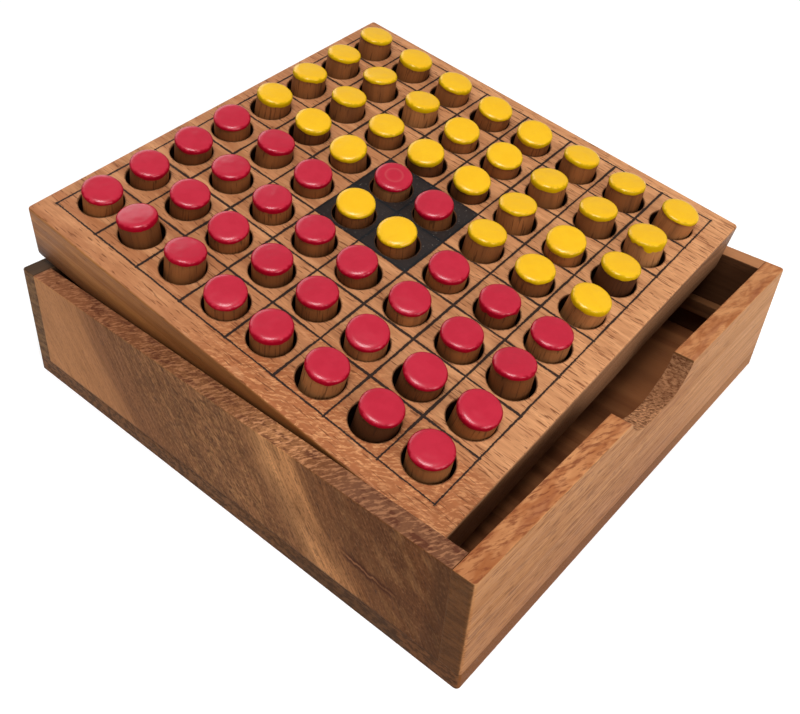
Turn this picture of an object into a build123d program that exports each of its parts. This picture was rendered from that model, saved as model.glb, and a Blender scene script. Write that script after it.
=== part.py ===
"""A wooden travel reversi set: an open square box, a peg board wedged in it, and 64 painted pegs.

Millimetres, +Z up.  The origin is the centre of the underside of the base panel.  +X points to
the side wall with the finger notch and +Y away from the front wall.
"""
import os
from math import atan, cos, hypot, sin

from build123d import *

# Box
BOX_SIDE = 172.0
BOX_HEIGHT = 39.2
BASE_THICKNESS = 5.7
WALL_THICKNESS = 6.3
CORNER_RADIUS = 1.2
RIM_EASING = 0.4

# Finger notch in the right wall: place along the wall, depth at its inner and outer face
NOTCH_OUTLINE = (
    (-17.0, 0.0, 0.0),
    (-13.0, 5.0, 4.8),
    (-8.0, 8.2, 7.5),
    (0.0, 10.3, 8.3),
    (6.0, 10.2, 8.1),
    (12.0, 7.9, 7.5),
    (16.8, 4.8, 3.8),
    (19.2, 0.0, 0.0),
)
NOTCH_OVERRUN = 3.0

# Rails that carry the board when it lies flat in the box
RAIL_DEPTH = 18.9
RAIL_WIDTH = 3.4
RAIL_HEIGHT = 5.0
FRONT_RAIL_END = 29.0

# Playing board, measured out from the burned grid of eight squares each way
SQUARES = 8
SQUARE = 18.0
MARGIN_LEFT = 4.6
MARGIN_RIGHT = 7.5
MARGIN_FRONT = 7.2
MARGIN_BACK = 5.0
BOARD_THICKNESS = 20.7
BOARD_CORNER_RADIUS = 1.2
BOARD_TOP_RADIUS = 0.8
BOARD_BOTTOM_RADIUS = 3.0

# The board lies askew, one edge on the left wall: the middle of its grid, then its turns
BOARD_CENTRE = (-7.54, -1.66, 57.15)
BOARD_TURNS = (7.10, 10.29, 0.36)

# The holes were drilled a column at a time, slightly off the burned grid: the middle of each
# column from left to right, then the step from one row to the next
HOLE_DIAMETER = 13.8
HOLE_DEPTH = 13.0
HOLE_COLUMNS = (
    (-63.6, -0.4),
    (-45.3, -0.4),
    (-26.8, -1.0),
    (-8.7, -1.4),
    (8.9, -1.5),
    (27.6, -2.0),
    (46.2, -2.1),
    (63.5, -1.6),
)
HOLE_ROW_STEP = (0.05, 17.65)

# Pegs cut from 12 mm dowel, loose in their holes
PEG_DIAMETER = 12.0
PEG_LENGTH = 19.0
PEG_TOP_RADIUS = 1.1
PEG_FOOT_CHAMFER = 0.4
PEG_SIDE_SHIFT = 0.8
PEG_FOOT_GAP = 0.1

# Which way each peg leans, front row first, as on a number pad: 8 is away from the front wall,
# 6 is to the right, 5 is upright
LEANS = (
    "64835995",
    "66355366",
    "65552357",
    "39332355",
    "96232859",
    "88523728",
    "87833777",
    "89963879",
)

HALF_SIDE = BOX_SIDE / 2
INSIDE = BOX_SIDE - 2 * WALL_THICKNESS
HALF_INSIDE = INSIDE / 2
WALL_HEIGHT = BOX_HEIGHT - BASE_THICKNESS
RAIL_BOTTOM = BOX_HEIGHT - RAIL_DEPTH - RAIL_HEIGHT
CORNER_ALIGN = (Align.MIN, Align.MIN, Align.MIN)

BOARD_POSE = Pos(*BOARD_CENTRE) * Rot(*BOARD_TURNS)


def block(low, size):
    """A plain box from its lowest corner."""
    return Pos(*low) * Box(*size, align=CORNER_ALIGN)


def base_panel():
    """The bottom board, under all four walls."""
    panel = block((-HALF_SIDE, -HALF_SIDE, 0), (BOX_SIDE, BOX_SIDE, BASE_THICKNESS))
    return fillet(panel.edges().filter_by(Axis.Z), CORNER_RADIUS)


def side_wall(side):
    """A wall that runs the full depth of the box; side is -1 for left and +1 for right."""
    low_x = -HALF_SIDE if side < 0 else HALF_INSIDE
    wall = block((low_x, -HALF_SIDE, BASE_THICKNESS), (WALL_THICKNESS, BOX_SIDE, WALL_HEIGHT))
    outer = wall.edges().filter_by(Axis.Z).sort_by(Axis.X)
    wall = fillet(outer[:2] if side < 0 else outer[2:], CORNER_RADIUS)
    rim = wall.faces().sort_by(Axis.Z)[-1]
    return fillet(rim.edges(), RIM_EASING)


def end_wall(side):
    """A wall between the side walls; side is -1 for front and +1 for back."""
    low_y = -HALF_SIDE if side < 0 else HALF_INSIDE
    wall = block((-HALF_INSIDE, low_y, BASE_THICKNESS), (INSIDE, WALL_THICKNESS, WALL_HEIGHT))
    rim = wall.faces().sort_by(Axis.Z)[-1]
    return fillet(rim.edges().filter_by(Axis.X), RIM_EASING)


def notch_face(x, depth_index):
    """The notch's outline on an upright plane across the right wall."""
    curve = [(x, point[0], BOX_HEIGHT - point[depth_index]) for point in NOTCH_OUTLINE]
    over_start = (x, curve[0][1], BOX_HEIGHT + NOTCH_OVERRUN)
    over_end = (x, curve[-1][1], BOX_HEIGHT + NOTCH_OVERRUN)
    edges = [Spline(*curve), Polyline(curve[-1], over_end, over_start, curve[0])]
    return make_face(edges)


def right_wall():
    """The wall with the finger notch, which is cut deeper on the inside."""
    inner = notch_face(HALF_INSIDE, 1)
    outer = notch_face(HALF_SIDE, 2)
    return side_wall(+1) - loft([inner, outer], ruled=True)


def rail(low_x, high_x, side):
    """A strip along the front or back wall that the board rests on."""
    low_y = -HALF_INSIDE if side < 0 else HALF_INSIDE - RAIL_WIDTH
    strip = block((low_x, low_y, RAIL_BOTTOM), (high_x - low_x, RAIL_WIDTH, RAIL_HEIGHT))
    free_edge = strip.edges().filter_by(Axis.X).group_by(Axis.Z)[-1].sort_by(Axis.Y)
    return fillet(free_edge[-1 if side < 0 else 0], RIM_EASING)


def hole_centre(column, row):
    """A hole's centre on the board's top, counted from the front left corner."""
    steps = row - (SQUARES - 1) / 2
    x, y = HOLE_COLUMNS[column]
    return (x + steps * HOLE_ROW_STEP[0], y + steps * HOLE_ROW_STEP[1])


def playing_board():
    """The thick board with its 64 blind holes, lying askew in the box."""
    half_grid = SQUARES * SQUARE / 2
    low = (-half_grid - MARGIN_LEFT, -half_grid - MARGIN_FRONT, -BOARD_THICKNESS)
    size = (half_grid + MARGIN_RIGHT - low[0], half_grid + MARGIN_BACK - low[1], BOARD_THICKNESS)
    board = block(low, size)
    board = fillet(board.edges().filter_by(Axis.Z), BOARD_CORNER_RADIUS)
    board = fillet(board.edges().group_by(Axis.Z)[0], BOARD_BOTTOM_RADIUS)
    board = fillet(board.edges().group_by(Axis.Z)[-1], BOARD_TOP_RADIUS)
    drill = Cylinder(HOLE_DIAMETER / 2, 2 * HOLE_DEPTH)
    places = [(column, row) for row in range(SQUARES) for column in range(SQUARES)]
    board -= [Pos(*hole_centre(*place)) * drill for place in places]
    return BOARD_POSE * board


def lean_direction(column, row):
    """The unit direction that a peg leans in, or None where it stands upright."""
    key = int(LEANS[row][column]) - 1
    across, along = key % 3 - 1, key // 3 - 1
    size = hypot(across, along)
    return (across / size, along / size) if size else None


def peg(column, row):
    """One peg in its hole, upright or leaning from side to side of it."""
    blank = Cylinder(PEG_DIAMETER / 2, PEG_LENGTH, align=(Align.CENTER, Align.CENTER, Align.MIN))
    rims = blank.edges().filter_by(GeomType.CIRCLE).sort_by(Axis.Z)
    blank = chamfer(rims[0], PEG_FOOT_CHAMFER)
    top_rim = blank.edges().filter_by(GeomType.CIRCLE).sort_by(Axis.Z)[-1]
    blank = fillet(top_rim, PEG_TOP_RADIUS)
    x, y = hole_centre(column, row)
    lean = lean_direction(column, row)
    if lean is None:
        return BOARD_POSE * Pos(x, y, PEG_FOOT_GAP - HOLE_DEPTH) * blank
    tilt = atan(2 * PEG_SIDE_SHIFT / HOLE_DEPTH)
    foot = (
        x - PEG_SIDE_SHIFT * lean[0],
        y - PEG_SIDE_SHIFT * lean[1],
        PEG_FOOT_GAP + sin(tilt) * PEG_DIAMETER / 2 - HOLE_DEPTH,
    )
    axis = (sin(tilt) * lean[0], sin(tilt) * lean[1], cos(tilt))
    return BOARD_POSE * Plane(origin=foot, z_dir=axis).location * blank


def peg_nodes():
    """The outermost row at each end is two groups of four; every other peg is its own node."""
    nodes = {}
    for row in range(SQUARES):
        name = f"row_{row + 1}"
        if row in (0, SQUARES - 1):
            half = SQUARES // 2
            nodes[f"pegs_{name}_left"] = Compound([peg(column, row) for column in range(half)])
            nodes[f"pegs_{name}_right"] = Compound(
                [peg(column, row) for column in range(half, SQUARES)]
            )
        else:
            for column in range(SQUARES):
                nodes[f"peg_{name}_column_{column + 1}"] = peg(column, row)
    return nodes


def all_nodes():
    """Every sub-part by name."""
    nodes = {
        "base_panel": base_panel(),
        "left_wall": side_wall(-1),
        "right_wall": right_wall(),
        "front_wall": end_wall(-1),
        "back_wall": end_wall(+1),
        "front_rail": rail(-HALF_INSIDE, FRONT_RAIL_END, -1),
        "back_rail": rail(-HALF_INSIDE, HALF_INSIDE, +1),
        "playing_board": playing_board(),
    }
    nodes.update(peg_nodes())
    return nodes


os.makedirs("parts", exist_ok=True)
for node_name, shape in all_nodes().items():
    export_step(shape, f"parts/{node_name}.step")
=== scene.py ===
"""The looks of a wooden travel reversi set: burned peg board, walnut-toned box and dipped pegs."""
from math import atan, degrees, hypot, pi, radians, sin

import bpy
from mathutils import Matrix, Vector


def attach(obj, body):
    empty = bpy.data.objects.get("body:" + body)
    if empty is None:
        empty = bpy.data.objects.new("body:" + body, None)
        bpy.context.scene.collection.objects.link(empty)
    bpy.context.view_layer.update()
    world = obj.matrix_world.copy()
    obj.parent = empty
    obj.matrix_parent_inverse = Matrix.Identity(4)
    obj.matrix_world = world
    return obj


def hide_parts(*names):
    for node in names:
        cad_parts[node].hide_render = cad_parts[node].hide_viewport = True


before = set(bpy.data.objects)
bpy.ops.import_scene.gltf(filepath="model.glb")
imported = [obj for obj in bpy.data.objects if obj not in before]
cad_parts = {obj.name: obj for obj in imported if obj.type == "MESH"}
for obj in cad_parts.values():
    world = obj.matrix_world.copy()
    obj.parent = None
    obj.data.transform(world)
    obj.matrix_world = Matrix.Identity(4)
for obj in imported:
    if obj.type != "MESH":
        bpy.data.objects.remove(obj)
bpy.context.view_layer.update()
MM = 0.001

# Camera
CAMERA_PLACE = Vector((146.16, -199.59, 201.62)) * MM
CAMERA_AZIMUTH = 39.515
CAMERA_ELEVATION = 36.164
CAMERA_ROLL = 3.078
CAMERA_LENS = 41.92
CAMERA_SENSOR = 36.0
CAMERA_SHIFT = (0.0400, -0.0565)
CAMERA_NEAREST = 0.01

# Light, and lamps: name, place and aim point in metres, width and height in metres, watts
WHITE = (1.0, 1.0, 1.0, 1.0)
AMBIENT = 0.32
LAMPS = (
    ("window_left", (-1.50, 0.45, 0.95), (0.0, 0.0, 0.04), 1.4, 1.1, 7.5),
    ("ceiling", (0.20, -0.29, 0.91), (0.0, 0.0, 0.04), 0.34, 0.34, 4.5),
    ("fill_right", (1.10, -0.26, 0.44), (0.0, 0.0, 0.03), 0.8, 0.7, 6.0),
)

# Floor: its size, how far it is below the box, its grey, and its glow near the box and far away
FLOOR_SIZE = 6.0
FLOOR_DROP = 0.02 * MM
FLOOR_GREY = (0.8, 0.8, 0.8, 1.0)
NEAR_GLOW = 0.42
FAR_GLOW = 0.58

# Box
HALF_SIDE = 86.0 * MM
RIM_HEIGHT = 39.2 * MM
BASE_THICKNESS = 5.7 * MM

# Playing board: its pose, its burned grid and its holes
BOARD_CENTRE = Vector((-7.54, -1.66, 57.15)) * MM
BOARD_TURNS = (7.10, 10.29, 0.36)
SQUARES = 8
SQUARE = 18.0 * MM
HOLE_DIAMETER = 13.8 * MM
HOLE_DEPTH = 13.0 * MM
HOLE_COLUMNS = [
    Vector((x, y)) * MM
    for x, y in zip(
        (-63.6, -45.3, -26.8, -8.7, 8.9, 27.6, 46.2, 63.5),
        (-0.4, -0.4, -1.0, -1.4, -1.5, -2.0, -2.1, -1.6),
    )
]
HOLE_ROW_STEP = Vector((0.05, 17.65)) * MM

# Pegs
PEG_DIAMETER = 12.0 * MM
PEG_LENGTH = 19.0 * MM
PEG_SIDE_SHIFT = 0.8 * MM
PEG_FOOT_GAP = 0.1 * MM
PEG_SIDES = 56
PEG_RINGS = 45
FOOT_SHARE = 0.022
CAP_SHOULDER = 2.4 * MM
CAP_CORNER = 1.35 * MM
PAINT_THICKNESS = 0.12 * MM
PAINT_DEPTH = 1.9 * MM
DRIP = 0.45 * MM
ROUGH_DRIP = 1.5 * MM
RUN_DEPTH = 1.5 * MM
RUN_ANGLE = radians(-35.0)
LOG_STEP = 0.037

# Odd pegs, as column and row counted from 0: ragged paint, one long run of paint, a ring mark
ROUGH_PEGS = ((6, 3), (7, 6))
RUN_PEG = (7, 6)
RING_PEG = (3, 4)

# Front row first.  Leans are as on a number pad: 8 is away from the front wall, 5 is upright.
LEANS = "64835995 66355366 65552357 39332355 96232859 88523728 87833777 89963879".split()
# How light each peg's wood is, from 1 (nearly black) to 9
TONES = "53454616 43544635 34443643 44444536 52464546 44422551 44654547 44544446".split()
# Red or yellow enamel
COLOURS = 3 * ["rrrrrrrr"] + ["rrryyrrr", "yyyrryyy"] + 3 * ["yyyyyyyy"]

# Which part of the normal says that a surface faces a way, and its sign
WAYS = {
    "right": (0, 1),
    "left": (0, -1),
    "back": (1, 1),
    "front": (1, -1),
    "up": (2, 1),
    "down": (2, -1),
}


def shade(red, green, blue):
    """A colour as it is seen, 0 to 255, turned into Blender's linear one."""
    linear = []
    for part in (red, green, blue):
        part /= 255
        linear.append(part / 12.92 if part <= 0.04045 else ((part + 0.055) / 1.055) ** 2.4)
    return (*linear, 1.0)


def turn_matrix(turns):
    """Turns about the board's own x, then y, then z axis."""
    x, y, z = (radians(turn) for turn in turns)
    return Matrix.Rotation(x, 4, "X") @ Matrix.Rotation(y, 4, "Y") @ Matrix.Rotation(z, 4, "Z")


BOARD_POSE = Matrix.Translation(BOARD_CENTRE) @ turn_matrix(BOARD_TURNS)
BOARD_ANGLES = [degrees(turn) for turn in turn_matrix(BOARD_TURNS).to_euler("XYZ")]


class Value:
    """A node's output; arithmetic with it adds a math node to its tree."""

    def __init__(self, tree, socket):
        self.tree = tree
        self.socket = socket

    def __add__(self, other):
        return self.tree.math("ADD", self, other)

    def __sub__(self, other):
        return self.tree.math("SUBTRACT", self, other)

    def __rsub__(self, other):
        return self.tree.math("SUBTRACT", other, self)

    def __mul__(self, other):
        return self.tree.math("MULTIPLY", self, other)

    def __truediv__(self, other):
        return self.tree.math("DIVIDE", self, other)

    def __abs__(self):
        return self.tree.math("ABSOLUTE", self)


class Tree:
    """Short calls that add nodes to a tree and join them."""

    def __init__(self, tree):
        self.tree = tree

    def add(self, kind, values=None, **settings):
        """A node with its settings and its input values or links."""
        node = self.tree.nodes.new(kind)
        for name, value in settings.items():
            setattr(node, name, value)
        for key, value in (values or {}).items():
            self.feed(node.inputs[key], value)
        return node

    def out(self, kind, values=None, pick=0, **settings):
        """One output of a new node."""
        return Value(self, self.add(kind, values, **settings).outputs[pick])

    def outs(self, kind, values=None, **settings):
        """Every output of a new node, by name."""
        node = self.add(kind, values, **settings)
        return {socket.name: Value(self, socket) for socket in node.outputs}

    def feed(self, socket, value):
        """Link a socket, or set its value."""
        if isinstance(value, Value):
            self.tree.links.new(value.socket, socket)
        else:
            socket.default_value = value

    def math(self, operation, *values, clamp=False):
        values = dict(enumerate(values))
        return self.out("ShaderNodeMath", values, operation=operation, use_clamp=clamp)

    def vector(self, operation, *values):
        pick = "Value" if operation in ("LENGTH", "DISTANCE", "DOT_PRODUCT") else "Vector"
        values = dict(enumerate(values))
        return self.out("ShaderNodeVectorMath", values, pick, operation=operation)

    def split(self, vector):
        return self.outs("ShaderNodeSeparateXYZ", {0: vector}).values()

    def join(self, x, y, z):
        return self.out("ShaderNodeCombineXYZ", {0: x, 1: y, 2: z})

    def mix(self, factor, first, second):
        """A mix of two colours."""
        return self.out("ShaderNodeMix", {0: factor, 6: first, 7: second}, 2, data_type="RGBA")

    def tones(self, mask, first, second):
        """Two colours, each given as it is seen, mixed by a mask."""
        return self.mix(mask, shade(*first), shade(*second))

    def fade(self, value, start, end, low=0.0, high=1.0, smooth=True):
        """A value that goes from low to high as the input goes from start to end."""
        kind = "SMOOTHSTEP" if smooth else "LINEAR"
        values = {0: value, 1: start, 2: end, 3: low, 4: high}
        return self.out("ShaderNodeMapRange", values, interpolation_type=kind)

    def span(self, value, start, end, low=0.0, high=1.0, smooth=True):
        """A fade between two lengths in millimetres."""
        return self.fade(value, start * MM, end * MM, low, high, smooth)

    def spread(self, noise, low=0.0, high=1.0, smooth=True):
        """The usual span of a noise turned into low to high."""
        return self.fade(noise, 0.3, 0.7, low, high, smooth)

    def noise(self, place, scale, detail=2.0, rough=0.5, distortion=0.0, output="Fac"):
        values = {"Vector": place, "Scale": scale, "Detail": detail, "Roughness": rough}
        values["Distortion"] = distortion
        return self.out("ShaderNodeTexNoise", values, output)

    def streaks(self, place, scales, detail=2.0, rough=0.5, distortion=0.0, output="Fac"):
        """Noise with a scale of its own along each axis."""
        stretched = self.vector("MULTIPLY", place, scales)
        return self.noise(stretched, 1.0, detail, rough, distortion, output)

    def patches(self, start, end, *streaks):
        """Streaks cut down to soft patches."""
        return self.fade(self.streaks(*streaks), start, end)

    def wander(self, noise, reach):
        """A noise colour turned into a shift to either side."""
        centred = self.vector("SUBTRACT", noise, (0.5, 0.5, 0.5))
        values = {0: centred, "Scale": reach}
        return self.out("ShaderNodeVectorMath", values, operation="SCALE")

    def ramp(self, value, stops):
        """Colours along a value."""
        node = self.add("ShaderNodeValToRGB", {0: value})
        ramp = node.color_ramp
        ramp.interpolation = "EASE"
        while len(ramp.elements) < len(stops):
            ramp.elements.new(0.5)
        for element, (place, colour) in zip(ramp.elements, stops):
            element.position = place
            element.color = shade(*colour)
        return Value(self, node.outputs[0])


def add_sockets(group, way, kind, sockets):
    """Named sockets of one kind, with their first values where they have one."""
    for label, first in sockets.items():
        socket = group.interface.new_socket(label, in_out=way, socket_type=f"NodeSocket{kind}")
        if first is not None:
            socket.default_value = first


def new_group(name, vectors, numbers, masks):
    """An empty shader group: its tree, its vector and number inputs, and its masks."""
    group = bpy.data.node_groups.new(name, "ShaderNodeTree")
    add_sockets(group, "INPUT", "Vector", vectors)
    add_sockets(group, "INPUT", "Float", numbers)
    add_sockets(group, "OUTPUT", "Float", dict.fromkeys(masks))
    tree = Tree(group)
    return tree, tree.outs("NodeGroupInput"), tree.add("NodeGroupOutput").inputs


def plank_grain_group():
    """Solid wood: the grain runs along X, growth rings wander around a log centre."""
    tree, given, result = new_group(
        "Plank grain",
        {"Vector": None, "Log Centre": (0.0, 0.0, -0.1)},
        {"Ring Spacing": 3.0 * MM, "Waviness": 2.0 * MM},
        ["Rings", "Fibres", "Bands", "Ribbon"],
    )
    place = given["Vector"]
    drift = tree.streaks(place, (9, 40, 40), output="Color")
    drift = tree.wander(drift, given["Waviness"] * 2.0)
    wandered = tree.vector("ADD", tree.vector("SUBTRACT", place, given["Log Centre"]), drift)
    across = tree.vector("MULTIPLY", wandered, (0.0, 1.0, 1.0))
    reach = tree.vector("LENGTH", across) / given["Ring Spacing"]
    values = {"W": reach, "Scale": 1.0, "Detail": 3.0}
    noises = {
        "Rings": tree.out("ShaderNodeTexNoise", values, "Fac", noise_dimensions="1D"),
        "Fibres": tree.streaks(place, (35, 1600, 1600), 3.0, 0.6),
        "Bands": tree.streaks(place, (6, 60, 60)),
        "Ribbon": tree.streaks(place, (110, 320, 320), 2.0, 0.55, 0.6),
    }
    for name, noise in noises.items():
        tree.feed(result[name], tree.spread(noise))
    return tree.tree


def long_cells(tree, place, length, width):
    """Coordinates counted in lengths along X and in widths across it."""
    x, y, z = tree.split(place)
    return tree.join(x / length, y / width, z / width)


def open_pores_group():
    """Short dark vessel lines along X, cut into dots on end grain."""
    numbers = {"Length": 3.0 * MM, "Width": 0.25 * MM, "Amount": 0.4}
    tree, given, result = new_group("Open pores", {"Vector": None}, numbers, ["Mask"])
    place = given["Vector"]
    cells = long_cells(tree, place, given["Length"], given["Width"])
    shift = tree.streaks(place, (60, 500, 500), 1.0, output="Color")
    cells = tree.vector("ADD", cells, tree.vector("MULTIPLY", shift, (0.4, 1.4, 1.4)))
    speck = tree.noise(cells, 0.55, 1.0, 0.4)
    crowd = tree.streaks(place, (14, 140, 140), 1.0)
    limit = 0.74 - given["Amount"] * 0.22 - tree.fade(crowd, 0.35, 0.65, -0.035, 0.035)
    tree.feed(result["Mask"], tree.fade(speck, limit, limit + 0.07))
    return tree.tree


def curly_flecks_group():
    """Short wavy flecks in ranks along X, as where curly grain catches the light."""
    numbers = {"Length": 3.0 * MM, "Width": 0.8 * MM, "Warp": 1.0 * MM}
    tree, given, result = new_group("Curly flecks", {"Vector": None}, numbers, ["Mask"])
    place = given["Vector"]
    shift = tree.noise(place, 130.0, 3.0, 0.6, output="Color")
    shift = tree.wander(shift, given["Warp"] * 2.0)
    bent = tree.vector("ADD", place, shift)
    cells = long_cells(tree, bent, given["Length"], given["Width"])
    tree.feed(result["Mask"], tree.fade(tree.noise(cells, 0.75, 3.0, 0.6), 0.47, 0.64))
    return tree.tree


def edge_wear_group():
    """Softened corners: a normal that rounds them and a mask of where they are."""
    numbers = {"Radius": 0.4 * MM, "Unevenness": 0.5}
    tree, given, _ = new_group("Edge wear", {}, numbers, ["Mask"])
    add_sockets(tree.tree, "OUTPUT", "Vector", {"Normal": None})
    result = tree.tree.nodes["Group Output"].inputs
    bevel = tree.out("ShaderNodeBevel", {"Radius": given["Radius"]}, samples=6)
    true_normal = tree.out("ShaderNodeNewGeometry", pick="True Normal")
    bent = 1.0 - tree.vector("DOT_PRODUCT", bevel, true_normal)
    patch = tree.noise(tree.out("ShaderNodeTexCoord", pick="Object"), 260.0, 3.0, 0.6)
    uneven = given["Unevenness"] * tree.fade(patch, 0.35, 0.65, -1.0, 0.4)
    edge = tree.fade(bent, 0.005, 0.2)
    mask = tree.math("MULTIPLY", edge, uneven + 1.0, clamp=True)
    tree.feed(result["Mask"], mask)
    tree.feed(result["Normal"], bevel)
    return tree.tree


def burned_grid_group():
    """The burned lines between the squares, a little uneven in width and depth."""
    numbers = {"Pitch": SQUARE, "Row Line": 0.70 * MM, "Column Line": 0.74 * MM}
    masks = ["Mask", "Scorch"]
    tree, given, result = new_group("Burned grid", {"Vector": None}, numbers, masks)
    half_grid = SQUARES / 2
    place = given["Vector"]
    shift = tree.wander(tree.noise(place, 180.0, output="Color"), 0.26 * MM)
    parts = list(tree.split(tree.vector("ADD", place, shift)))
    ragged = tree.noise(place, 1500.0, 3.0, 0.65)
    faint = tree.noise(place, 70.0)
    corner = (half_grid * SQUARE, -half_grid * SQUARE, 0.0)
    thin_corner = tree.span(tree.vector("DISTANCE", place, corner), 2, 34, 0.72, 1.0)
    lines = []
    scorches = []
    for along, across, width in ((0, 1, given["Column Line"]), (1, 0, given["Row Line"])):
        squares = parts[along] / given["Pitch"]
        off = abs(squares - tree.math("ROUND", squares)) * given["Pitch"]
        thin_outside = tree.fade(abs(squares), 3.4, 3.9, 1.08, 0.8)
        half = width * tree.spread(faint, 0.34, 0.58) * thin_corner * thin_outside
        half += tree.spread(ragged, -0.09 * MM, 0.09 * MM)
        past = off - half
        line = tree.span(past, 0.08, -0.05)
        scorch = tree.span(past, 0.8, 0)
        for reach in (squares, parts[across] / given["Pitch"]):
            inside = tree.math("LESS_THAN", abs(reach), half_grid + 0.028)
            line *= inside
            scorch *= inside
        lines.append(line)
        scorches.append(scorch)
    tree.feed(result["Mask"], tree.math("MAXIMUM", *lines))
    tree.feed(result["Scorch"], tree.math("MAXIMUM", *scorches))
    return tree.tree


def hole_ring_group():
    """The distance from the nearest hole's centre; the columns were drilled one at a time."""
    tree, given, result = new_group("Hole ring", {"Vector": None}, {}, ["Distance"])
    place = given["Vector"]
    x, _, _ = tree.split(place)
    middle = tree.join(*HOLE_COLUMNS[0], 0.0)
    for left, right in zip(HOLE_COLUMNS, HOLE_COLUMNS[1:]):
        past = tree.math("GREATER_THAN", x, (left.x + right.x) / 2)
        step = tree.vector("MULTIPLY", tree.join(past, past, 0.0), (*(right - left), 0.0))
        middle = tree.vector("ADD", middle, step)
    off_x, off_y, _ = tree.split(tree.vector("SUBTRACT", place, middle))
    outermost = (SQUARES - 1) / 2
    row = tree.math("FLOOR", off_y / HOLE_ROW_STEP.y) + 0.5
    row = tree.math("MINIMUM", tree.math("MAXIMUM", row, -outermost), outermost)
    off_x -= row * HOLE_ROW_STEP.x
    off_y -= row * HOLE_ROW_STEP.y
    tree.feed(result["Distance"], tree.vector("LENGTH", tree.join(off_x, off_y, 0.0)))
    return tree.tree


GROUPS = {
    "grain": plank_grain_group(),
    "pores": open_pores_group(),
    "flecks": curly_flecks_group(),
    "wear": edge_wear_group(),
    "grid": burned_grid_group(),
    "hole": hole_ring_group(),
}


class Finish(Tree):
    """A material with its Principled BSDF, and short calls to the shared groups."""

    def __init__(self, name):
        self.material = bpy.data.materials.new(name)
        self.material.use_nodes = True
        super().__init__(self.material.node_tree)
        self.shader = self.tree.nodes["Principled BSDF"]
        self.place = self.out("ShaderNodeTexCoord", pick="Object")
        self.normal = self.out("ShaderNodeNewGeometry", pick="True Normal")

    def use(self, group, values):
        return self.outs("ShaderNodeGroup", values, node_tree=GROUPS[group])

    def grain(self, place, centre, spacing, waviness=3.0):
        """Plank grain around a log centre; the rings' spacing and waviness are in millimetres."""
        values = {"Vector": place, "Log Centre": centre}
        values.update({"Ring Spacing": spacing * MM, "Waviness": waviness * MM})
        return self.use("grain", values)

    def pores(self, place, length, width, amount):
        """Where open pores are, of a length and width in millimetres."""
        values = {"Vector": place, "Length": length * MM, "Width": width * MM}
        return self.use("pores", {**values, "Amount": amount})["Mask"]

    def flecks(self, place, length, width, warp):
        """Where curly flecks are, of a length, width and warp in millimetres."""
        values = {"Vector": place, "Length": length * MM, "Width": width * MM}
        return self.use("flecks", {**values, "Warp": warp * MM})["Mask"]

    def attribute(self, name, output="Fac"):
        return self.out("ShaderNodeAttribute", pick=output, attribute_name=name)

    def turned(self, x=0.0, y=0.0, z=0.0, offset=(0.0, 0.0, 0.0), place=None):
        """Coordinates turned by degrees into a frame of their own."""
        turns = (radians(x), radians(y), radians(z))
        values = {"Vector": place or self.place, "Location": offset, "Rotation": turns}
        return self.out("ShaderNodeMapping", values, vector_type="TEXTURE")

    def facing(self, way, normal=None):
        """Where the surface faces right, left, back, front, up or down."""
        axis, sign = WAYS[way]
        parts = list(self.split(normal or self.normal))
        return self.fade(parts[axis], 0.5 * sign, 0.9 * sign)

    def layers(self, colour, *layers):
        """Lay colours over the first one in turn: the mask or way, its strength and the colour."""
        for mask, amount, over in layers:
            mask = self.facing(mask) if isinstance(mask, str) else mask
            over = shade(*over) if isinstance(over, tuple) else over
            colour = self.mix(mask * amount, colour, over)
        return colour

    def set(self, **values):
        names = {"colour": "Base Color", "rough": "Roughness", "coat": "Coat Weight"}
        names.update(coat_rough="Coat Roughness", gloss="Specular IOR Level")
        for key, value in values.items():
            self.feed(self.shader.inputs[names[key]], value)

    def relief(self, height, depth, strength=1.0, normal=None):
        values = {"Height": height, "Distance": depth, "Strength": strength}
        if normal is not None:
            values["Normal"] = normal
        bump = self.out("ShaderNodeBump", values)
        self.feed(self.shader.inputs["Normal"], bump)


def board_top_colour(wood, place, grain, pores):
    """The orange-brown top with its curly front border."""
    x, y, _ = wood.split(place)
    lighter = wood.fade(x + y * 0.4, -0.08, 0.09)
    border = wood.spread(wood.streaks(place, (20, 60, 20)), -8 * MM, 8 * MM)
    front = wood.span(y + border, -66, -50, 1.0, 0.12)
    zone = front * wood.span(x, -22, 12)
    flecks = wood.flecks(wood.turned(z=38.0, place=place), 2.3, 0.5, 2.2)
    figure = wood.streaks(place, (90, 420, 200), 4.0, 0.65, 0.4)
    long_pores = wood.pores(place, 3.6, 0.3, 0.5) * wood.span(x, 66, 74)
    return wood.layers(
        wood.tones(grain["Rings"], (228, 164, 114), (194, 129, 85)),
        (grain["Bands"], 0.45, (186, 118, 76)),
        (lighter, 0.68, (246, 182, 128)),
        (zone, 0.75, (168, 90, 48)),
        (wood.span(y, -70, -74), 0.2, (158, 92, 54)),
        (flecks * zone, 0.8, (240, 172, 116)),
        (grain["Ribbon"], 0.28, (158, 98, 62)),
        (pores, 0.75, (106, 56, 32)),
        (wood.fade(figure, 0.46, 0.66), 0.3, (150, 90, 54)),
        (wood.fade(figure, 0.46, 0.34), 0.22, (250, 190, 138)),
        (long_pores, 0.6, (138, 76, 46)),
    )


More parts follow.
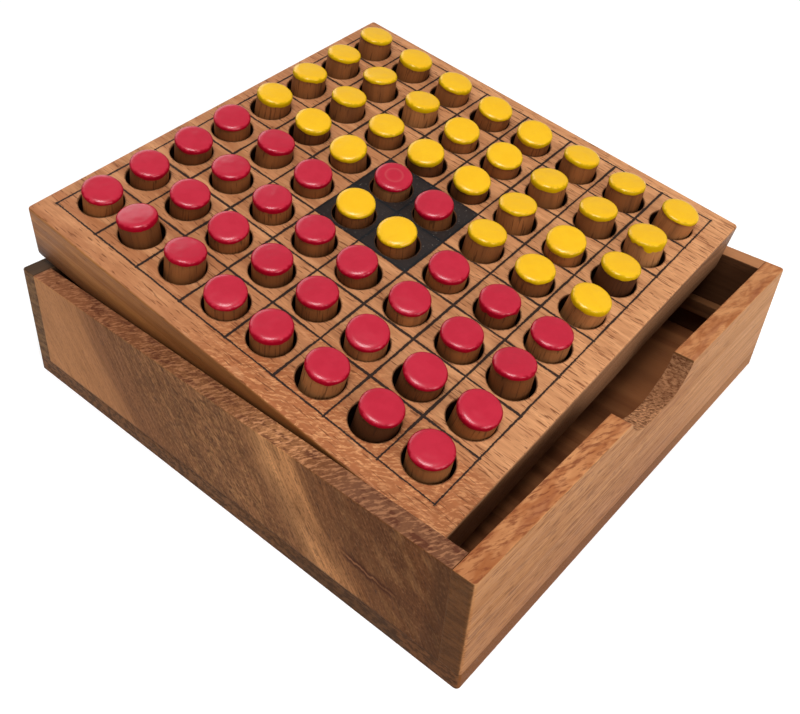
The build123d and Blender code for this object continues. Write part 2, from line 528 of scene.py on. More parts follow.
def board_side_colour(wood, place, normal, grain, pores):
    """The browner front and back and the darker end grain at both sides, with painted shade towards
    the bottom edge and a painted shadow that deepens towards the right.
    """
    x, y, z = wood.split(place)
    sideways, _, _ = wood.split(normal)
    end = wood.fade(abs(sideways), 0.5, 0.8)
    # low marks painted shade towards the board's rounded bottom edge
    low = wood.span(z, -8, -18.5, smooth=False)
    side = wood.layers(
        wood.tones(grain["Rings"], (186, 123, 64), (160, 102, 50)),
        (grain["Ribbon"], 0.25, (116, 70, 42)),
        (pores, 0.4, (80, 46, 28)),
        # Painted shadow on the front and back faces, deepening towards the right
        (wood.span(x, -50, 0), 0.5, (84, 42, 14)),
    )
    cut = wood.layers(
        wood.tones(grain["Rings"], (163, 119, 86), (130, 92, 64)),
        (pores, 0.6, (60, 38, 26)),
        (wood.span(y, 30, -10), 0.35, (178, 128, 92)),
    )
    return wood.layers(
        wood.mix(end, side, cut),
        # Painted shade towards the rounded bottom edge, strongest along the grain faces
        (low, wood.fade(end, 0.0, 1.0, 0.9, 0.3), (38, 21, 12)),
        (wood.facing("down", normal), 0.6, (120, 82, 56)),
    )


def burn_and_ink(wood, place, grain, on_top, speck, colour):
    """The burned grid and the four inked squares over the wood: the colour and the lines."""
    grid = wood.use("grid", {"Vector": place})
    line = grid["Mask"] * on_top
    x, y, _ = wood.split(place)
    reach = wood.math("MAXIMUM", abs(x), abs(y))
    reach += wood.spread(speck, -0.15 * MM, 0.15 * MM)
    ink = wood.fade(reach, SQUARE + 0.3 * MM, SQUARE) * on_top
    ink_colour = wood.layers(
        wood.tones(wood.fade(speck, 0.60, 0.70), (30, 32, 35), (78, 75, 72)),
        (wood.fade(wood.noise(place, 1300.0, 1.0), 0.72, 0.76), 0.6, (190, 180, 165)),
        (wood.fade(grain["Bands"], 0.2, 0.8), 0.5, (46, 48, 50)),
    )
    colour = wood.layers(
        colour,
        (grid["Scorch"] * on_top, 0.16, (96, 58, 34)),
        (line, 0.95, (34, 30, 30)),
        (ink, 0.97, ink_colour),
    )
    return colour, line


def darken_holes(wood, place, grain, on_top, speck, colour):
    """Each hole's sooty edge and painted shade down inside it: the colour and where the inside is.
    """
    ring = wood.use("hole", {"Vector": place})["Distance"]
    ring += wood.spread(speck, -0.12 * MM, 0.12 * MM)
    radius = HOLE_DIAMETER / 2
    soot = wood.fade(ring, radius + 0.05 * MM, radius + 0.4 * MM, 0.7, 0.0)
    colour = wood.layers(colour, (soot, on_top, (64, 38, 24)))
    _, _, z = wood.split(place)
    deep = wood.span(z, -0.2, -1.2)
    inside = wood.math("LESS_THAN", ring, radius + 0.3 * MM) * deep
    # Painted shade for the inside of each hole
    painted_bore_shade = wood.tones(grain["Fibres"], (50, 28, 17), (30, 17, 11))
    return wood.mix(inside, colour, painted_bore_shade), inside


def board_finish():
    """The playing board: orange-tan wood, burned grid, four black squares and painted shade in the
    holes.
    """
    wood = Finish("Board wood")
    place = wood.turned(*BOARD_ANGLES, offset=BOARD_CENTRE)
    normal = wood.turned(*BOARD_ANGLES, place=wood.normal)
    x, _, z = wood.split(place)
    up = wood.facing("up", normal)
    on_top = wood.span(z, -0.5, -0.2) * up
    speck = wood.noise(place, 900.0, 3.0, 0.6)
    grain = wood.grain(place, (0.0, 0.03, -0.16), 2.6)
    pores = wood.pores(place, 2.4, 0.24, 0.5)
    top = board_top_colour(wood, place, grain, pores)
    colour = wood.mix(up, board_side_colour(wood, place, normal, grain, pores), top)
    colour = wood.layers(colour, (grain["Fibres"], 0.26, (142, 86, 54)))
    colour, line = burn_and_ink(wood, place, grain, on_top, speck, colour)
    colour, inside = darken_holes(wood, place, grain, on_top, speck, colour)

    wear = wood.use("wear", {"Radius": 0.7 * MM, "Unevenness": 0.6})
    worn = wear["Mask"] * (1.0 - inside)
    colour = wood.layers(colour, (worn, wood.span(x, -50, 0, 0.6, 0.3), (200, 140, 92)))
    rough = wood.fade(grain["Fibres"], 0.0, 1.0, 0.42, 0.56) + line * 0.15
    wood.set(colour=colour, rough=rough, gloss=0.12)
    height = grain["Fibres"] * 0.25 - pores * 0.5 - line * 1.2
    wood.relief(height, 0.12 * MM, 0.7, wear["Normal"])
    return wood.material


def flame_colours(wood, flame):
    """Tan, brown, a light streak, then nearly black brown, from left to right."""
    return wood.ramp(
        flame,
        [
            (0.00, (201, 139, 90)),
            (0.12, (197, 135, 87)),
            (0.19, (154, 102, 65)),
            (0.27, (145, 95, 59)),
            (0.36, (156, 104, 65)),
            (0.48, (161, 108, 69)),
            (0.56, (158, 104, 65)),
            (0.615, (228, 161, 104)),
            (0.66, (217, 150, 95)),
            (0.72, (136, 86, 50)),
            (0.79, (117, 71, 39)),
            (0.90, (113, 67, 35)),
            (1.00, (127, 78, 41)),
        ],
    )


def front_flow(wood):
    """The front wall's slanting figure: coordinates along it, its streaks, and 0 to 1 across it."""
    x, y, z = wood.split(wood.place)
    depth = RIM_HEIGHT - z
    curve = wood.math("POWER", wood.math("MAXIMUM", depth, 0.0), 1.25) * 1.55
    base = x + HALF_SIDE - curve
    flow = wood.join(base, y, depth)
    streaks = wood.streaks(flow, (420, 200, 26), 3.0, 0.65)
    drift = wood.spread(wood.streaks(flow, (28, 60, 14)), -3.5 * MM, 3.5 * MM, smooth=False)
    jitter = wood.spread(streaks, -2.2 * MM, 2.2 * MM, smooth=False)
    flame = base + (drift + jitter)
    return flow, streaks, flame / (2 * HALF_SIDE)


def front_face(wood, flow, streaks, flame):
    """Flame colours under curl, gleams, blotches, lines and grit: the colour, pores and fibres."""
    middle = wood.fade(flame, 0.2, 0.4) * wood.fade(flame, 0.6, 0.54)
    curl = wood.flecks(wood.turned(y=30.0), 2.4, 1.0, 2.4)
    gleam = wood.flecks(wood.turned(y=38.0, offset=(0.03, 0.0, 0.01)), 1.6, 0.6, 1.4)
    blotch = wood.patches(0.38, 0.62, flow, (110, 60, 80), 3.0, 0.6)
    cloud = wood.patches(0.35, 0.65, flow, (60, 60, 40), 4.0, 0.65)
    olive = wood.patches(0.48, 0.64, flow, (150, 60, 120), 3.0, 0.65)
    brown = wood.fade(flame, 0.14, 0.24, 0.45, 1.0)
    slant = wood.turned(y=60.0)
    pores = wood.pores(slant, 1.8, 0.22, 0.45)
    fibres = wood.streaks(slant, (60, 1500, 1500), 3.0, 0.6)
    grit = wood.streaks(slant, (900, 1700, 1700), 2.0, 0.6)
    colour = wood.layers(
        flame_colours(wood, flame),
        (curl * middle, 0.7, (80, 47, 26)),
        (gleam * middle, 0.7, (200, 143, 90)),
        (blotch * wood.fade(flame, 0.24, 0.34), 0.35, (84, 52, 30)),
        (cloud, 0.22, (142, 92, 56)),
        (olive * wood.fade(flame, 0.70, 0.78), 0.45, (164, 114, 70)),
        (wood.fade(streaks, 0.42, 0.62) * brown, 0.26, (84, 50, 28)),
        (pores * brown, 0.45, (58, 35, 24)),
        (wood.fade(fibres, 0.35, 0.65) * brown, 0.32, (70, 41, 22)),
        (wood.fade(grit, 0.52, 0.66) * brown, 0.38, (52, 30, 18)),
        (wood.fade(grit, 0.44, 0.32) * brown, 0.22, (190, 136, 92)),
    )
    return colour, pores, fibres


def front_crack(wood, colour):
    """A healed crack in the dark end, pale between dark lips, and the dark glue line past it."""
    x, _, z = wood.split(wood.place)
    wander = wood.spread(wood.streaks(wood.place, (190, 190, 60), 3.0, 0.6), -0.7 * MM, 0.7 * MM)
    from_middle = x - 57 * MM
    run = z + from_middle * 0.13
    off = abs(run - 17.3 * MM + wander)
    lip = wood.span(off, 0.2, 0.6) * wood.span(off, 2.2, 0.6) * wood.span(abs(from_middle), 11, 6)
    heart = wood.span(off, 0.45, 0.1) * wood.span(abs(x - 54 * MM), 6, 2)
    glue = wood.span(x + wander * 0.8, 72.5, 77)
    return wood.layers(
        colour,
        (lip, 0.8, (66, 32, 18)),
        (heart, 0.45, (176, 116, 80)),
        (glue, 0.45, (66, 40, 20)),
    )


def front_rim(wood, flame, face):
    """The front wall's rim: the face's colours turned browner, mottled, with slanting rays."""
    x, _, _ = wood.split(wood.place)
    mottle = wood.patches(0.5, 0.62, wood.place, (160, 420, 160), 3.0, 0.65)
    rim = wood.layers(
        wood.mix(wood.span(x, -65, -10, 0.85, 0.42), face, shade(130, 79, 53)),
        (wood.span(x, 36, 50), 0.5, (122, 82, 62)),
        (mottle, 0.7, (88, 46, 32)),
    )
    rays = wood.flecks(wood.turned(z=60.0), 2.0, 0.6, 0.8)
    streak = wood.fade(abs(flame - 0.64), 0.04, 0.1, 0.95, 0.5)
    lit = wood.mix(0.55, rim, shade(240, 170, 120))
    return wood.mix(rays * streak, rim, lit)


def front_wall_finish():
    """The front wall: slanting flame figure from tan through brown to nearly black brown."""
    wood = Finish("Figured front wood")
    flow, streaks, flame = front_flow(wood)
    face, pores, fibres = front_face(wood, flow, streaks, flame)
    face = front_crack(wood, face)
    _, _, z = wood.split(wood.place)
    # Painted shadow along the joint with the base panel
    seam_shadow = wood.fade(z, BASE_THICKNESS + 0.6 * MM, BASE_THICKNESS + 0.1 * MM)
    wear = wood.use("wear", {"Radius": 0.5 * MM, "Unevenness": 0.6})
    colour = wood.layers(
        wood.mix(wood.facing("up"), face, front_rim(wood, flame, face)),
        # Painted shade on the inner face, inside the box
        ("back", 0.6, (60, 38, 25)),
        (seam_shadow, 0.5, (50, 30, 18)),
        (wear["Mask"], 0.25, (160, 108, 72)),
    )
    wood.set(colour=colour, rough=wood.spread(fibres, 0.46, 0.6), gloss=0.04)
    wood.relief(fibres * 0.4 - pores, 0.08 * MM, 0.5, wear["Normal"])
    return wood.material


def wall_wood(name, turn, tones, fleck, spacing):
    """Wood with its grain turned to run along a wall: its finish, its masks and its colour."""
    wood = Finish(name)
    place = wood.turned(z=turn)
    grain = wood.grain(place, (0.0, 0.05, 0.09), spacing)
    pores = wood.pores(place, 3.0, 0.24, 0.5)
    light, middle, dark = tones
    colour = wood.layers(
        wood.tones(grain["Rings"], light, middle),
        (grain["Bands"], 0.5, middle),
        (grain["Ribbon"], 0.18, dark),
        (pores, 0.45, fleck),
        (grain["Fibres"], 0.24, dark),
    )
    return wood, place, grain, pores, colour


def finish_wall(wood, grain, pores, colour, edge_colour, extra_height=None):
    """Worn edges, sheen and relief that every plain wall shares."""
    wear = wood.use("wear", {"Radius": 0.5 * MM, "Unevenness": 0.6})
    colour = wood.layers(colour, (wear["Mask"], 0.25, edge_colour))
    wood.set(colour=colour, rough=wood.fade(grain["Fibres"], 0.0, 1.0, 0.46, 0.6), gloss=0.04)
    height = grain["Fibres"] * 0.4 - pores * 0.8
    if extra_height is not None:
        height += extra_height
    wood.relief(height, 0.1 * MM, 0.6, wear["Normal"])
    return wood.material


def end_grain(wood, scales, rough, dark, pale):
    """Where a side wall's two ends are, and the colour of their cut rings."""
    _, endways, _ = wood.split(wood.normal)
    ends = wood.fade(abs(endways), 0.6, 0.9)
    rings = wood.patches(0.35, 0.65, wood.place, scales, 3.0, rough)
    return ends, wood.tones(rings, dark, pale)


def right_face(wood, place, colour):
    """Fine dark lines and dashes, darker low down and near the front, lighter at the back."""
    _, y, z = wood.split(wood.place)
    lines = wood.patches(0.5, 0.6, place, (22, 2100, 2100), 3.0, 0.6, 0.2)
    lines *= wood.span(z, 10, 34, 1.0, 0.35)
    dashes = wood.pores(wood.turned(x=-4.0, z=90.0), 2.6, 0.34, 0.85)
    return wood.layers(
        colour,
        (wood.span(z, 24, 6), 0.45, (160, 106, 70)),
        (lines, 0.6, (122, 76, 48)),
        (wood.span(y, 10, -80), 0.35, (174, 116, 66)),
        (wood.span(y, 10, 50), 0.25, (234, 174, 118)),
        (dashes * wood.span(y, -20, 20, 1.0, 0.2), 0.5, (112, 68, 40)),
    )


def right_rim(wood, grain):
    """Orange, with crowded short flecks in front of the notch and few behind it."""
    x, y, _ = wood.split(wood.place)
    flecks = wood.flecks(wood.turned(z=72.0), 3.2, 0.7, 0.9)
    flecks *= wood.span(y, 0, 30, 1.0, 0.45)
    blotch = wood.patches(0.5, 0.68, wood.place, (300, 70, 300))
    return wood.layers(
        wood.tones(grain["Ribbon"], (214, 149, 98), (176, 108, 65)),
        (flecks, 0.75, (126, 66, 42)),
        (wood.span(y, -45, -80), 0.3, (140, 76, 40)),
        (blotch * wood.span(x, 81, 85), 0.5, (150, 84, 58)),
    )


def notch_cut(wood):
    """The finger notch, rough from the saw and shaded at its sides: mask, colour and relief."""
    _, y, z = wood.split(wood.place)
    sideways, _, _ = wood.split(wood.normal)
    across = wood.fade(abs(sideways), 0.7, 0.4) * wood.span(abs(y), 25, 24)
    under_rim = wood.fade(z, RIM_HEIGHT - 0.4 * MM, RIM_HEIGHT - 0.9 * MM)
    notch = across * under_rim * wood.span(z, 20, 22)
    sawn = wood.streaks(wood.place, (700, 1500, 1500), 4.0, 0.7, 0.4)
    tone = wood.fade(sawn, 0.38, 0.62, smooth=False)
    shaded = wood.span(y, 1, 11) + wood.span(y, -10, -16)
    cut = wood.tones(tone, (92, 50, 30), (232, 170, 122))
    cut = wood.layers(cut, (shaded, 0.6, (98, 58, 36)))
    return notch, cut, sawn * notch * 6.0


def right_wall_finish():
    """The right wall: pinkish tan, an orange flecked rim, dark ends and the rough finger notch."""
    tones = ((217, 160, 110), (178, 122, 78), (138, 88, 54))
    wood, place, grain, pores, colour = wall_wood(
        "Right wall wood", 90.0, tones, (112, 66, 40), 2.6
    )
    face = right_face(wood, place, colour)
    ends, end_colour = end_grain(wood, (200, 60, 900), 0.6, (76, 46, 23), (102, 63, 34))
    notch, cut, sawn = notch_cut(wood)
    colour = wood.layers(
        wood.mix(wood.facing("up"), face, right_rim(wood, grain)),
        # Painted shade on the inner face, inside the box
        ("left", 0.6, (84, 54, 36)),
        (ends, 0.9, end_colour),
        (notch, 0.9, cut),
    )
    return finish_wall(wood, grain, pores, colour, (196, 138, 94), sawn)


def left_wall_finish():
    """The left wall: dark olive brown."""
    tones = ((134, 98, 72), (104, 74, 53), (78, 54, 38))
    wood, _, grain, pores, colour = wall_wood("Left wall wood", 90.0, tones, (46, 31, 22), 3.6)
    ends, end_colour = end_grain(wood, (260, 60, 700), 0.65, (90, 61, 37), (138, 101, 64))
    colour = wood.layers(
        colour,
        ("up", 0.75, (62, 48, 36)),
        (ends, 0.8, end_colour),
        # Painted shade on the inner face, inside the box
        ("right", 0.6, (60, 40, 27)),
    )
    return finish_wall(wood, grain, pores, colour, (140, 104, 78))


def back_wall_finish():
    """The back wall: mid brown with an orange rim."""
    tones = ((182, 126, 84), (150, 100, 65), (118, 74, 46))
    wood, _, grain, pores, colour = wall_wood("Back wall wood", 0.0, tones, (92, 55, 34), 3.6)
    # The inner face, which faces front, gets painted shade inside the box
    colour = wood.layers(colour, ("up", 0.6, (198, 136, 92)), ("front", 0.8, (52, 30, 19)))
    return finish_wall(wood, grain, pores, colour, (196, 140, 98))


def base_finish():
    """The base panel: dark at the front edge, tan at the right edge, mid brown inside."""
    tones = ((146, 104, 74), (114, 78, 54), (86, 56, 38))
    wood, _, grain, pores, colour = wall_wood("Base wood", 0.0, tones, (56, 36, 24), 4.2)
    x, y, z = wood.split(wood.place)
    front = wood.facing("front")
    slope = x + z
    dark = wood.span(slope, 71.5, 70)
    mottle = wood.patches(0.4, 0.6, wood.place, (520, 520, 900), 4.0, 0.7)
    skirt = wood.layers(
        wood.tones(dark, (122, 78, 47), (128, 85, 52)),
        (mottle, 0.7, (48, 28, 12)),
        (dark * wood.span(slope, 20, 44), 0.45, (58, 40, 28)),
    )
    # Painted shadow along the base's top front edge, where the front wall meets it
    seam_shadow = wood.fade(z, BASE_THICKNESS - 0.5 * MM, BASE_THICKNESS) * front
    tan = wood.tones(wood.span(y, 0, 70), (126, 74, 32), (172, 116, 68))
    inside = wood.layers(
        wood.tones(grain["Rings"], (196, 124, 76), (140, 80, 46)),
        (grain["Bands"], 0.5, (96, 54, 32)),
    )
    colour = wood.layers(
        colour,
        (front, 0.9, skirt),
        (seam_shadow, 0.5, (44, 27, 16)),
        ("right", 0.85, tan),
        ("up", 0.85, inside),
        ("left", 0.6, (110, 82, 62)),
    )
    return finish_wall(wood, grain, pores, colour, (150, 108, 78))


def rail_finish():
    """The rails inside the box, unfinished and dusty."""
    tones = ((122, 80, 50), (98, 63, 40), (74, 46, 29))
    wood, _, grain, pores, colour = wall_wood("Rail wood", 0.0, tones, (58, 35, 22), 3.0)
    colour = wood.layers(colour, ("up", 0.85, (126, 82, 50)))
    return finish_wall(wood, grain, pores, colour, (156, 110, 76))


def peg_place(wood):
    """Coordinates on a peg, and the same moved for each one so that no two look alike."""
    local = wood.attribute("on_peg", "Vector")
    away = wood.attribute("seed") * LOG_STEP
    return local, wood.vector("ADD", local, wood.join(away, away, 0.0))


def peg_wood_finish():
    """Dowel wood with its fibres up the peg; each peg has its own tone and place in the log."""
    wood = Finish("Dowel wood")
    place = peg_place(wood)[1]
    fibres = wood.streaks(place, (1900, 1900, 60), 3.0, 0.65)
    streaks = wood.streaks(place, (420, 420, 22), 4.0, 0.6, 0.3)
    broad = wood.streaks(place, (110, 110, 18), 1.0)
    x, y, z = wood.split(place)
    tones = [
        (0.05, (52, 28, 16)),
        (0.25, (113, 66, 34)),
        (0.50, (156, 97, 53)),
        (0.70, (187, 126, 76)),
        (0.95, (226, 180, 126)),
    ]
    colour = wood.layers(
        wood.ramp(wood.attribute("tone"), tones),
        (wood.fade(broad, 0.35, 0.65), 0.4, (84, 50, 31)),
        (wood.fade(streaks, 0.45, 0.75), 0.35, (74, 43, 27)),
        (wood.fade(fibres, 0.5, 0.72), 0.22, (58, 34, 21)),
        (wood.pores(wood.join(z, x, y), 4.0, 0.3, 0.5), 0.5, (44, 25, 16)),
    )
    wood.set(colour=colour, rough=wood.spread(fibres, 0.45, 0.62), gloss=0.1)
    wood.relief(fibres, 0.1 * MM, 0.5)
    return wood.material


def enamel_finish(name, main, thin, edge):
    """Glossy dipped enamel with painted shade down its side, and a lumpy, crusted shoulder."""
    paint = Finish(name)
    local, place = peg_place(paint)
    cloud = paint.noise(place, 240.0)
    ragged = paint.spread(paint.noise(place, 700.0, 3.0, 0.6), -0.2 * MM, 0.2 * MM)
    _, _, z = paint.split(local)
    height = z + ragged
    # side marks the painted shade down the cap's side, where the edge colour goes
    side = paint.fade(height, PEG_LENGTH - 0.5 * MM, PEG_LENGTH - 1.0 * MM)
    colour = paint.layers(
        paint.tones(paint.fade(cloud, 0.35, 0.65), main, thin),
        (side, 0.95, edge),
        (paint.attribute("mark"), 0.05, (255, 214, 190)),
    )
    paint.set(colour=colour, rough=paint.spread(cloud, 0.42, 0.5), gloss=0.05)
    paint.set(coat=1.0 - side, coat_rough=0.27)
    shoulder = paint.fade(height, PEG_LENGTH - 0.15 * MM, PEG_LENGTH - 0.9 * MM)
    crust = paint.fade(paint.noise(place, 1500.0), 0.35, 0.65) * shoulder
    lumps = paint.noise(place, 420.0, 1.0)
    paint.relief(lumps * 0.25 + crust * 0.25, 0.1 * MM, 0.4)
    return paint.material


def float_curve(tree, value, points):
    """Straight runs through points from 0 to 1."""
    node = tree.add("ShaderNodeFloatCurve", {"Value": value})
    curve = node.mapping.curves[0]
    while len(curve.points) < len(points):
        curve.points.new(0.5, 0.5)
    for point, place in zip(curve.points, points):
        point.location = place
        point.handle_type = "VECTOR"
    node.mapping.update()
    return Value(tree, node.outputs[0])


def paint_edge(tree, given, angle, around):
    """How high the paint's lower edge is: it sags, and on one peg it runs down."""
    sag = tree.fade(tree.noise(around, 1.1, 3.0, 0.6), 0.25, 0.75, -0.5, 1.0)
    edge = given["Length"] - given["Paint Depth"] - sag * given["Drip"]
    highest = given["Length"] - (CAP_CORNER + 0.05 * MM)
    edge = tree.math("MINIMUM", edge, highest)
    beside = tree.math("COSINE", angle - given["Run Angle"])
    return edge - tree.fade(beside, 0.72, 0.98) * given["Run Depth"]


def peg_radius(tree, given, along, round_turn, flat_share):
    """The outline's distance from the axis: bare foot and side, paint film, rounded top."""
    points = [(0.0, 0.0), (0.10, 0.92), (0.15, 1.0), (0.50, 1.0), (1.0, 1.0)]
    bare = float_curve(tree, along, points) * (given["Radius"] - given["Paint Thickness"])
    points = [(0.0, 0.0), (0.50, 0.0), (0.525, 0.75), (0.55, 1.0), (1.0, 1.0)]
    film = float_curve(tree, along, points) * given["Paint Thickness"]
    inset = (1.0 - tree.math("COSINE", round_turn)) * CAP_SHOULDER
    return (bare + film - inset) * flat_share


def peg_height(tree, given, along, round_turn, edge):
    """The outline's height: foot, bare side up to the paint's edge, paint film, rounded top."""
    points = [(0.0, 0.0), (0.10, 0.0), (0.15, FOOT_SHARE), (1.0, FOOT_SHARE)]
    length = given["Length"]
    bare = edge - length * FOOT_SHARE
    film = length - CAP_CORNER - edge
    height = float_curve(tree, along, points) * length
    height += tree.fade(along, 0.15, 0.50, smooth=False) * bare
    height += tree.fade(along, 0.50, 0.60, smooth=False) * film
    return height + tree.math("SINE", round_turn) * CAP_CORNER


def peg_top(tree, given, along, across, radius, flat_share):
    """How far the top sinks, as a low uneven dome, and the ring mark that it may carry."""
    top = tree.fade(along, 0.62, 0.85)
    dome = tree.math("POWER", flat_share, 2.0) * (0.15 * MM)
    wave = tree.spread(tree.noise(across, 0.9, 1.0), 0.0, 0.10 * MM)
    ring = abs(radius / given["Radius"] - 0.44)
    ring = tree.fade(ring, 0.1, 0.0) * top * given["Ring Mark"]
    return (dome + wave + ring * (0.12 * MM)) * top, ring


def store(tree, geometry, name, kind, domain, value):
    """Keep a value on the mesh under a name."""
    values = {"Geometry": geometry, "Name": name, "Value": value}
    return tree.out("GeometryNodeStoreNamedAttribute", values, data_type=kind, domain=domain)


def paint_peg(tree, given, geometry):
    """Set the wood, and the enamel where the peg was marked as painted."""
    smooth = tree.out("GeometryNodeSetShadeSmooth", {"Geometry": geometry})
    whole = tree.out("GeometryNodeRealizeInstances", {"Geometry": smooth})
    values = {"Geometry": whole, "Material": given["Wood"]}
    wood = tree.out("GeometryNodeSetMaterial", values)
    named = tree.out("GeometryNodeInputNamedAttribute", {"Name": "painted"}, data_type="FLOAT")
    painted = tree.math("GREATER_THAN", named, 0.5)
    values = {"Geometry": wood, "Selection": painted, "Material": given["Enamel"]}
    return tree.out("GeometryNodeSetMaterial", values)


def peg_tree():
    """Geometry Nodes for one dipped peg, turned from its outline, standing at the origin."""
    group = bpy.data.node_groups.new("Dipped peg", "GeometryNodeTree")
    sizes = {
        "Length": PEG_LENGTH,
        "Radius": PEG_DIAMETER / 2,
        "Paint Thickness": PAINT_THICKNESS,
    }
    own = ("Paint Depth", "Drip", "Run Depth", "Run Angle", "Ring Mark", "Seed", "Tone")
    add_sockets(group, "INPUT", "Float", {**sizes, **dict.fromkeys(own)})
    add_sockets(group, "INPUT", "Material", dict.fromkeys(("Wood", "Enamel")))
    add_sockets(group, "OUTPUT", "Geometry", {"Peg": None})
    tree = Tree(group)
    given = tree.outs("NodeGroupInput")
    grid = tree.out("GeometryNodeMeshGrid", {0: 1.0, 1: 1.0, 2: PEG_SIDES + 1, 3: PEG_RINGS})
    x, y, _ = tree.split(tree.out("GeometryNodeInputPosition"))
    angle = (x + 0.5) * (2 * pi)
    along = y + 0.5
    turn_x, turn_y = tree.math("COSINE", angle), tree.math("SINE", angle)

    seed = given["Seed"]
    round_turn = tree.fade(along, 0.60, 0.85, 0.0, pi / 2, smooth=False)
    flat_share = tree.fade(along, 0.85, 1.0, 1.0, 0.0, smooth=False)
    edge = paint_edge(tree, given, angle, tree.join(turn_x, turn_y, seed))
    radius = peg_radius(tree, given, along, round_turn, flat_share)
    across = tree.join(turn_x * flat_share, turn_y * flat_share, seed)
    sink, ring = peg_top(tree, given, along, across, radius, flat_share)
    height = peg_height(tree, given, along, round_turn, edge) - sink

    # What depends on the flat grid is kept before the grid is turned into the peg
    painted = tree.math("GREATER_THAN", along, 0.50)
    mesh = store(tree, grid, "painted", "FLOAT", "FACE", painted)
    mesh = store(tree, mesh, "mark", "FLOAT", "POINT", ring)
    place = tree.join(radius * turn_x, radius * turn_y, height)
    mesh = tree.out("GeometryNodeSetPosition", {"Geometry": mesh, "Position": place})
    values = {"Geometry": mesh, "Distance": 0.01 * MM}
    mesh = tree.out("GeometryNodeMergeByDistance", values)
    place = tree.out("GeometryNodeInputPosition")
    mesh = store(tree, mesh, "on_peg", "FLOAT_VECTOR", "POINT", place)
    mesh = store(tree, mesh, "tone", "FLOAT", "POINT", given["Tone"])
    mesh = store(tree, mesh, "seed", "FLOAT", "POINT", seed)
    tree.add("NodeGroupOutput", {0: paint_peg(tree, given, mesh)})
    return group


def hole_place(column, row):
    """A hole's centre on the board's top."""
    return HOLE_COLUMNS[column] + (row - (SQUARES - 1) / 2) * HOLE_ROW_STEP


def peg_pose(column, row):
    """Where a peg's foot is and how it leans, as one matrix."""
    x, y = hole_place(column, row)
    key = int(LEANS[row][column]) - 1
    across, along = key % 3 - 1, key // 3 - 1
    size = hypot(across, along)
    if not size:
        return BOARD_POSE @ Matrix.Translation((x, y, PEG_FOOT_GAP - HOLE_DEPTH))
    across, along = across / size, along / size
    tilt = atan(2 * PEG_SIDE_SHIFT / HOLE_DEPTH)
    foot = Vector((
        x - PEG_SIDE_SHIFT * across,
        y - PEG_SIDE_SHIFT * along,
        PEG_FOOT_GAP + sin(tilt) * PEG_DIAMETER / 2 - HOLE_DEPTH,
    ))
    lean = Matrix.Rotation(tilt, 4, Vector((-along, across, 0.0)))
    return BOARD_POSE @ Matrix.Translation(foot) @ lean


def new_object(name, data):
    """An object in the scene."""
    thing = bpy.data.objects.new(name, data)
    bpy.context.scene.collection.objects.link(thing)
    return thing


def set_inputs(modifier, values):
    """Set a Geometry Nodes modifier's inputs by their socket identifiers."""
    for item in modifier.node_group.interface.items_tree:
        if item.item_type == "SOCKET" and item.in_out == "INPUT" and item.name in values:
            modifier[item.identifier] = values[item.name]


def make_peg(tree, column, row, wood, enamels):
    """One peg's mesh, in its place on the board."""
    holder = new_object("peg_maker", bpy.data.meshes.new("peg_maker"))
    modifier = holder.modifiers.new("Dipped peg", "NODES")
    modifier.node_group = tree
    peg = (column, row)
    number = row * SQUARES + column
    spin = 2.4 * number
    values = {
        "Drip": ROUGH_DRIP if peg in ROUGH_PEGS else DRIP,
        "Seed": 1.0 + 2.7 * number,
        "Tone": int(TONES[row][column]) / 10 + 0.004 * (number % 7),
        "Paint Depth": PAINT_DEPTH + 0.12 * MM * (number * 5 % 7 - 3),
        "Run Depth": RUN_DEPTH if peg == RUN_PEG else 0.0,
        "Run Angle": RUN_ANGLE - spin,
        "Ring Mark": 1.0 if peg == RING_PEG else 0.0,
        "Wood": wood,
        "Enamel": enamels[COLOURS[row][column]],
    }
    set_inputs(modifier, values)
    depsgraph = bpy.context.evaluated_depsgraph_get()
    mesh = bpy.data.meshes.new_from_object(holder.evaluated_get(depsgraph))
    mesh.materials.pop(index=0)
    bpy.data.objects.remove(holder)
    mesh.transform(peg_pose(column, row) @ Matrix.Rotation(spin, 4, "Z"))
    return mesh


def join_meshes(name, meshes):
    """One object from several meshes, placed at the origin."""
    objects = [new_object(name, mesh) for mesh in meshes]
    if len(objects) > 1:
        with bpy.context.temp_override(
            active_object=objects[0], selected_editable_objects=objects
        ):
            bpy.ops.object.join()
    return objects[0]


def place_pegs():
    """Every peg, on the body of the CAD node that it stands for."""
    tree = peg_tree()
    wood = peg_wood_finish()
    enamels = {
        # Each enamel: its main colour, its thin-paint colour, then painted shade for the cap's side
        "r": enamel_finish("Red enamel", (190, 22, 51), (195, 27, 55), (150, 0, 28)),
        "y": enamel_finish("Yellow enamel", (248, 189, 4), (250, 193, 9), (196, 158, 0)),
    }
    groups = {}
    for row in range(SQUARES):
        for column in range(SQUARES):
            node = f"peg_row_{row + 1}_column_{column + 1}"
            if row in (0, SQUARES - 1):
                node = f"pegs_row_{row + 1}_{'left' if column < SQUARES // 2 else 'right'}"
            mesh = make_peg(tree, column, row, wood, enamels)
            groups.setdefault(node, []).append((mesh, COLOURS[row][column]))
    for node, made in groups.items():
        piece = join_meshes(f"dipped_{node}", [mesh for mesh, _ in made])
        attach(piece, f"{node}_body")
        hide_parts(node)


def dress_box():
    """Give the box's and the board's CAD nodes their finishes."""
    finishes = {
        "playing_board": board_finish(),
        "front_wall": front_wall_finish(),
        "right_wall": right_wall_finish(),
        "left_wall": left_wall_finish(),
        "back_wall": back_wall_finish(),
        "base_panel": base_finish(),
        "front_rail": rail_finish(),
    }
    finishes["back_rail"] = finishes["front_rail"]
    for node, material in finishes.items():
        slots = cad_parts[node].data.materials
        slots.clear()
        slots.append(material)


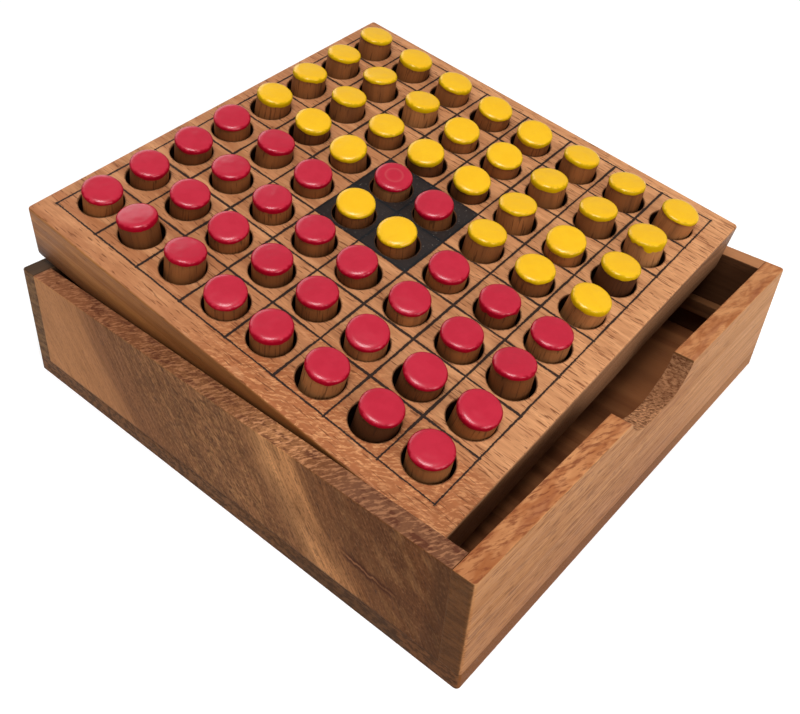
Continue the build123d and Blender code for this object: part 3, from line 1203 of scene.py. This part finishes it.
def make_floor():
    """A pale floor that takes the shadow and looks white to the camera."""
    bpy.ops.mesh.primitive_plane_add(size=FLOOR_SIZE, location=(0.0, 0.0, -FLOOR_DROP))
    floor = bpy.context.object
    floor.name = "floor"
    paper = Finish("Paper floor")
    paper.set(colour=FLOOR_GREY, rough=0.9, gloss=0.0)
    rays = paper.outs("ShaderNodeLightPath")
    seen = paper.math("MAXIMUM", rays["Is Camera Ray"], rays["Is Glossy Ray"])
    seen = paper.math("MAXIMUM", seen, rays["Is Transmission Ray"])
    far = paper.fade(paper.vector("LENGTH", paper.place), 0.4, 1.2, 0.0, FAR_GLOW)
    strength = seen * NEAR_GLOW + rays["Is Camera Ray"] * far
    plain = Value(paper, paper.shader.outputs[0])
    glow = paper.out("ShaderNodeEmission", {"Color": WHITE, "Strength": strength})
    both = paper.out("ShaderNodeAddShader", {0: plain, 1: glow})
    paper.feed(paper.tree.nodes["Material Output"].inputs["Surface"], both)
    floor.data.materials.append(paper.material)


def make_world():
    """Soft ambient light, white where it is seen."""
    world = bpy.data.worlds.new("Studio")
    bpy.context.scene.world = world
    world.use_nodes = True
    sky = Tree(world.node_tree)
    seen = sky.out("ShaderNodeLightPath", pick="Is Camera Ray")
    background = world.node_tree.nodes["Background"]
    sky.feed(background.inputs["Color"], WHITE)
    strength = sky.fade(seen, 0.0, 1.0, AMBIENT, 1.0, smooth=False)
    sky.feed(background.inputs["Strength"], strength)


def make_lamps():
    """Soft rectangular lamps, aimed at the box."""
    for name, place, aim, width, height, watts in LAMPS:
        light = bpy.data.lights.new(name, "AREA")
        light.shape = "RECTANGLE"
        light.size, light.size_y = width, height
        light.energy = watts
        lamp = new_object(name, light)
        direction = Vector(aim) - Vector(place)
        lamp.location = place
        lamp.rotation_euler = direction.to_track_quat("-Z", "Y").to_euler()


def make_camera():
    """The photograph's viewpoint and lens."""
    lens = bpy.data.cameras.new("camera")
    lens.lens = CAMERA_LENS
    lens.sensor_width = CAMERA_SENSOR
    lens.shift_x, lens.shift_y = CAMERA_SHIFT
    lens.clip_start = CAMERA_NEAREST
    camera = new_object("camera", lens)
    aim = Matrix.Rotation(radians(CAMERA_AZIMUTH), 4, "Z")
    aim = aim @ Matrix.Rotation(radians(90.0 - CAMERA_ELEVATION), 4, "X")
    aim = aim @ Matrix.Rotation(radians(CAMERA_ROLL), 4, "Z")
    camera.matrix_world = Matrix.Translation(CAMERA_PLACE) @ aim
    bpy.context.scene.camera = camera


bpy.context.scene.view_settings.view_transform = "Standard"
dress_box()
place_pegs()
make_floor()
make_world()
make_lamps()
make_camera()
